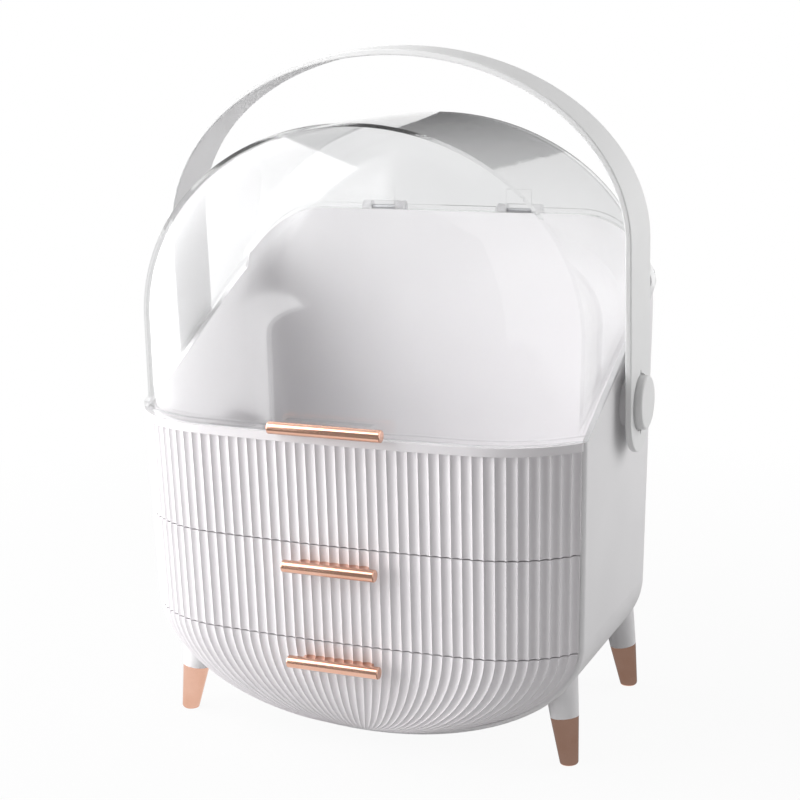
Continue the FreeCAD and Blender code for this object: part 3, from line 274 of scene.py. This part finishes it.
# Stage: white floor and background, soft lamps, and grey cards for the polished surfaces


def combined(tree, operation, first, second):
    """One value from two by a named operation."""
    node = tree.nodes.new("ShaderNodeMath")
    node.operation = operation
    tree.links.new(first, node.inputs[0])
    tree.links.new(second, node.inputs[1])
    return node.outputs["Value"]


def background_rays(tree):
    """One for rays that show the background: seen, mirrored or through the lid, not those that light."""
    path = tree.nodes.new("ShaderNodeLightPath")
    seen = combined(tree, "MAXIMUM", path.outputs["Is Camera Ray"], path.outputs["Is Glossy Ray"])
    shown = combined(tree, "MAXIMUM", seen, path.outputs["Is Transmission Ray"])
    return combined(tree, "GREATER_THAN", shown, path.outputs["Diffuse Depth"])


def sheet(name, width, height, place, facing, material):
    """Flat sheet of the stage that faces a direction."""
    x = width / 2
    y = height / 2
    mesh = bpy.data.meshes.new(name)
    mesh.from_pydata([(-x, -y, 0), (x, -y, 0), (x, y, 0), (-x, y, 0)], [], [(0, 1, 2, 3)])
    mesh.materials.append(material)
    piece = bpy.data.objects.new(name, mesh)
    scene.collection.objects.link(piece)
    piece.location = place
    piece.rotation_euler = facing.to_track_quat("Z", "Y").to_euler()
    return piece


def make_floor():
    """Pale floor that shows white and keeps a faint shadow near the object."""
    material, tree, output = new_material("floor")
    diffuse = add(tree, "ShaderNodeBsdfDiffuse", Color=FLOOR_COLOUR)
    glow = add(tree, "ShaderNodeEmission", Color=PURE_WHITE, Strength=1.0)
    place = tree.nodes.new("ShaderNodeTexCoord")
    away = tree.nodes.new("ShaderNodeVectorMath")
    away.operation = "LENGTH"
    tree.links.new(place.outputs["Object"], away.inputs[0])
    share = add(tree, "ShaderNodeMapRange", From_Min=SHADOW_NEAR, From_Max=SHADOW_FAR, To_Min=FLOOR_GLOW)
    tree.links.new(away.outputs["Value"], share.inputs["Value"])
    shown = tree.nodes.new("ShaderNodeMixShader")
    tree.links.new(share.outputs["Result"], shown.inputs["Fac"])
    tree.links.new(diffuse.outputs["BSDF"], shown.inputs[1])
    tree.links.new(glow.outputs["Emission"], shown.inputs[2])
    mix = tree.nodes.new("ShaderNodeMixShader")
    tree.links.new(background_rays(tree), mix.inputs["Fac"])
    tree.links.new(diffuse.outputs["BSDF"], mix.inputs[1])
    tree.links.new(shown.outputs["Shader"], mix.inputs[2])
    tree.links.new(mix.outputs["Shader"], output.inputs["Surface"])
    sheet("floor", FLOOR_SIZE, FLOOR_SIZE, Vector((0, 0, 0)), Vector((0, 0, 1)), material)


def make_world():
    world = bpy.data.worlds.new("studio")
    scene.world = world
    world.use_nodes = True
    tree = world.node_tree
    tree.nodes.clear()
    output = tree.nodes.new("ShaderNodeOutputWorld")
    seen = add(tree, "ShaderNodeBackground", Color=PURE_WHITE, Strength=1.0)
    light = add(tree, "ShaderNodeBackground", Color=PURE_WHITE, Strength=WORLD_LIGHT)
    mix = tree.nodes.new("ShaderNodeMixShader")
    tree.links.new(background_rays(tree), mix.inputs["Fac"])
    tree.links.new(light.outputs["Background"], mix.inputs[1])
    tree.links.new(seen.outputs["Background"], mix.inputs[2])
    tree.links.new(mix.outputs["Shader"], output.inputs["Surface"])


def at_azimuth(azimuth, distance):
    """Place on the floor round the feet; azimuth 0 is the front, positive to the right."""
    turn = math.radians(azimuth)
    return FEET_MIDDLE + distance * Vector((math.sin(turn), -math.cos(turn), 0))


def upright(first, last, distance, low, high):
    """Centre, inward facing, width and height of an upright sheet between two azimuths."""
    start = at_azimuth(first, distance)
    end = at_azimuth(last, distance)
    middle = (start + end) / 2
    facing = (FEET_MIDDLE - middle).normalized()
    return middle + Vector((0, 0, (low + high) / 2)), facing, (end - start).length, high - low


def keep_off_caustics(lamp):
    """Takes the lamp out of light that a mirror or clear plastic throws on, which would only speckle."""
    lamp.use_nodes = True
    tree = lamp.node_tree
    path = tree.nodes.new("ShaderNodeLightPath")
    thrown = combined(tree, "MAXIMUM", path.outputs["Is Glossy Ray"], path.outputs["Is Transmission Ray"])
    caustic = combined(tree, "MULTIPLY", thrown, path.outputs["Diffuse Depth"])
    direct = tree.nodes.new("ShaderNodeMath")
    direct.operation = "LESS_THAN"
    direct.inputs[1].default_value = HALF_BOUNCE
    tree.links.new(caustic, direct.inputs[0])
    tree.links.new(direct.outputs["Value"], tree.nodes["Emission"].inputs["Strength"])


def make_lamp(name, place, facing, width, height, radiance):
    """Soft rectangular lamp of an even radiance."""
    lamp = bpy.data.lights.new(name, "AREA")
    lamp.shape = "RECTANGLE"
    lamp.size = width
    lamp.size_y = height
    lamp.energy = radiance * math.pi * width * height
    keep_off_caustics(lamp)
    piece = bpy.data.objects.new(name, lamp)
    scene.collection.objects.link(piece)
    piece.location = place
    piece.rotation_euler = facing.to_track_quat("-Z", "Y").to_euler()
    piece.visible_camera = False
    return piece


def make_lamps():
    for name, first, last, distance, low, high, radiance in LAMPS:
        make_lamp(name, *upright(first, last, distance, low, high), radiance)
    overhead = make_lamp("overhead", FEET_MIDDLE + Vector((0, 0, OVERHEAD_HEIGHT)), Vector((0, 0, -1)),
                         OVERHEAD_SIZE, OVERHEAD_SIZE, OVERHEAD_RADIANCE)
    overhead.visible_glossy = False


def make_card(name, place, facing, width, height, level):
    """Grey card that only mirrored rays show."""
    material, tree, output = new_material(name)
    grey = add(tree, "ShaderNodeEmission", Color=PURE_WHITE, Strength=level)
    tree.links.new(grey.outputs["Emission"], output.inputs["Surface"])
    piece = sheet(name, width, height, place, facing, material)
    piece.visible_camera = False
    piece.visible_diffuse = False
    piece.visible_transmission = False
    piece.visible_shadow = False


def make_cards():
    for name, first, last, distance, low, high, level in CARDS:
        make_card(name, *upright(first, last, distance, low, high), level)
    for name, left, right, near, far, level in FLOOR_CARDS:
        place = Vector(((left + right) / 2, (near + far) / 2, FLOOR_CARD_LIFT))
        make_card(name, place, Vector((0, 0, 1)), right - left, near - far, level)


make_camera()
dress_object()
make_floor()
make_world()
make_lamps()
make_cards()
scene.view_settings.view_transform = "Standard"
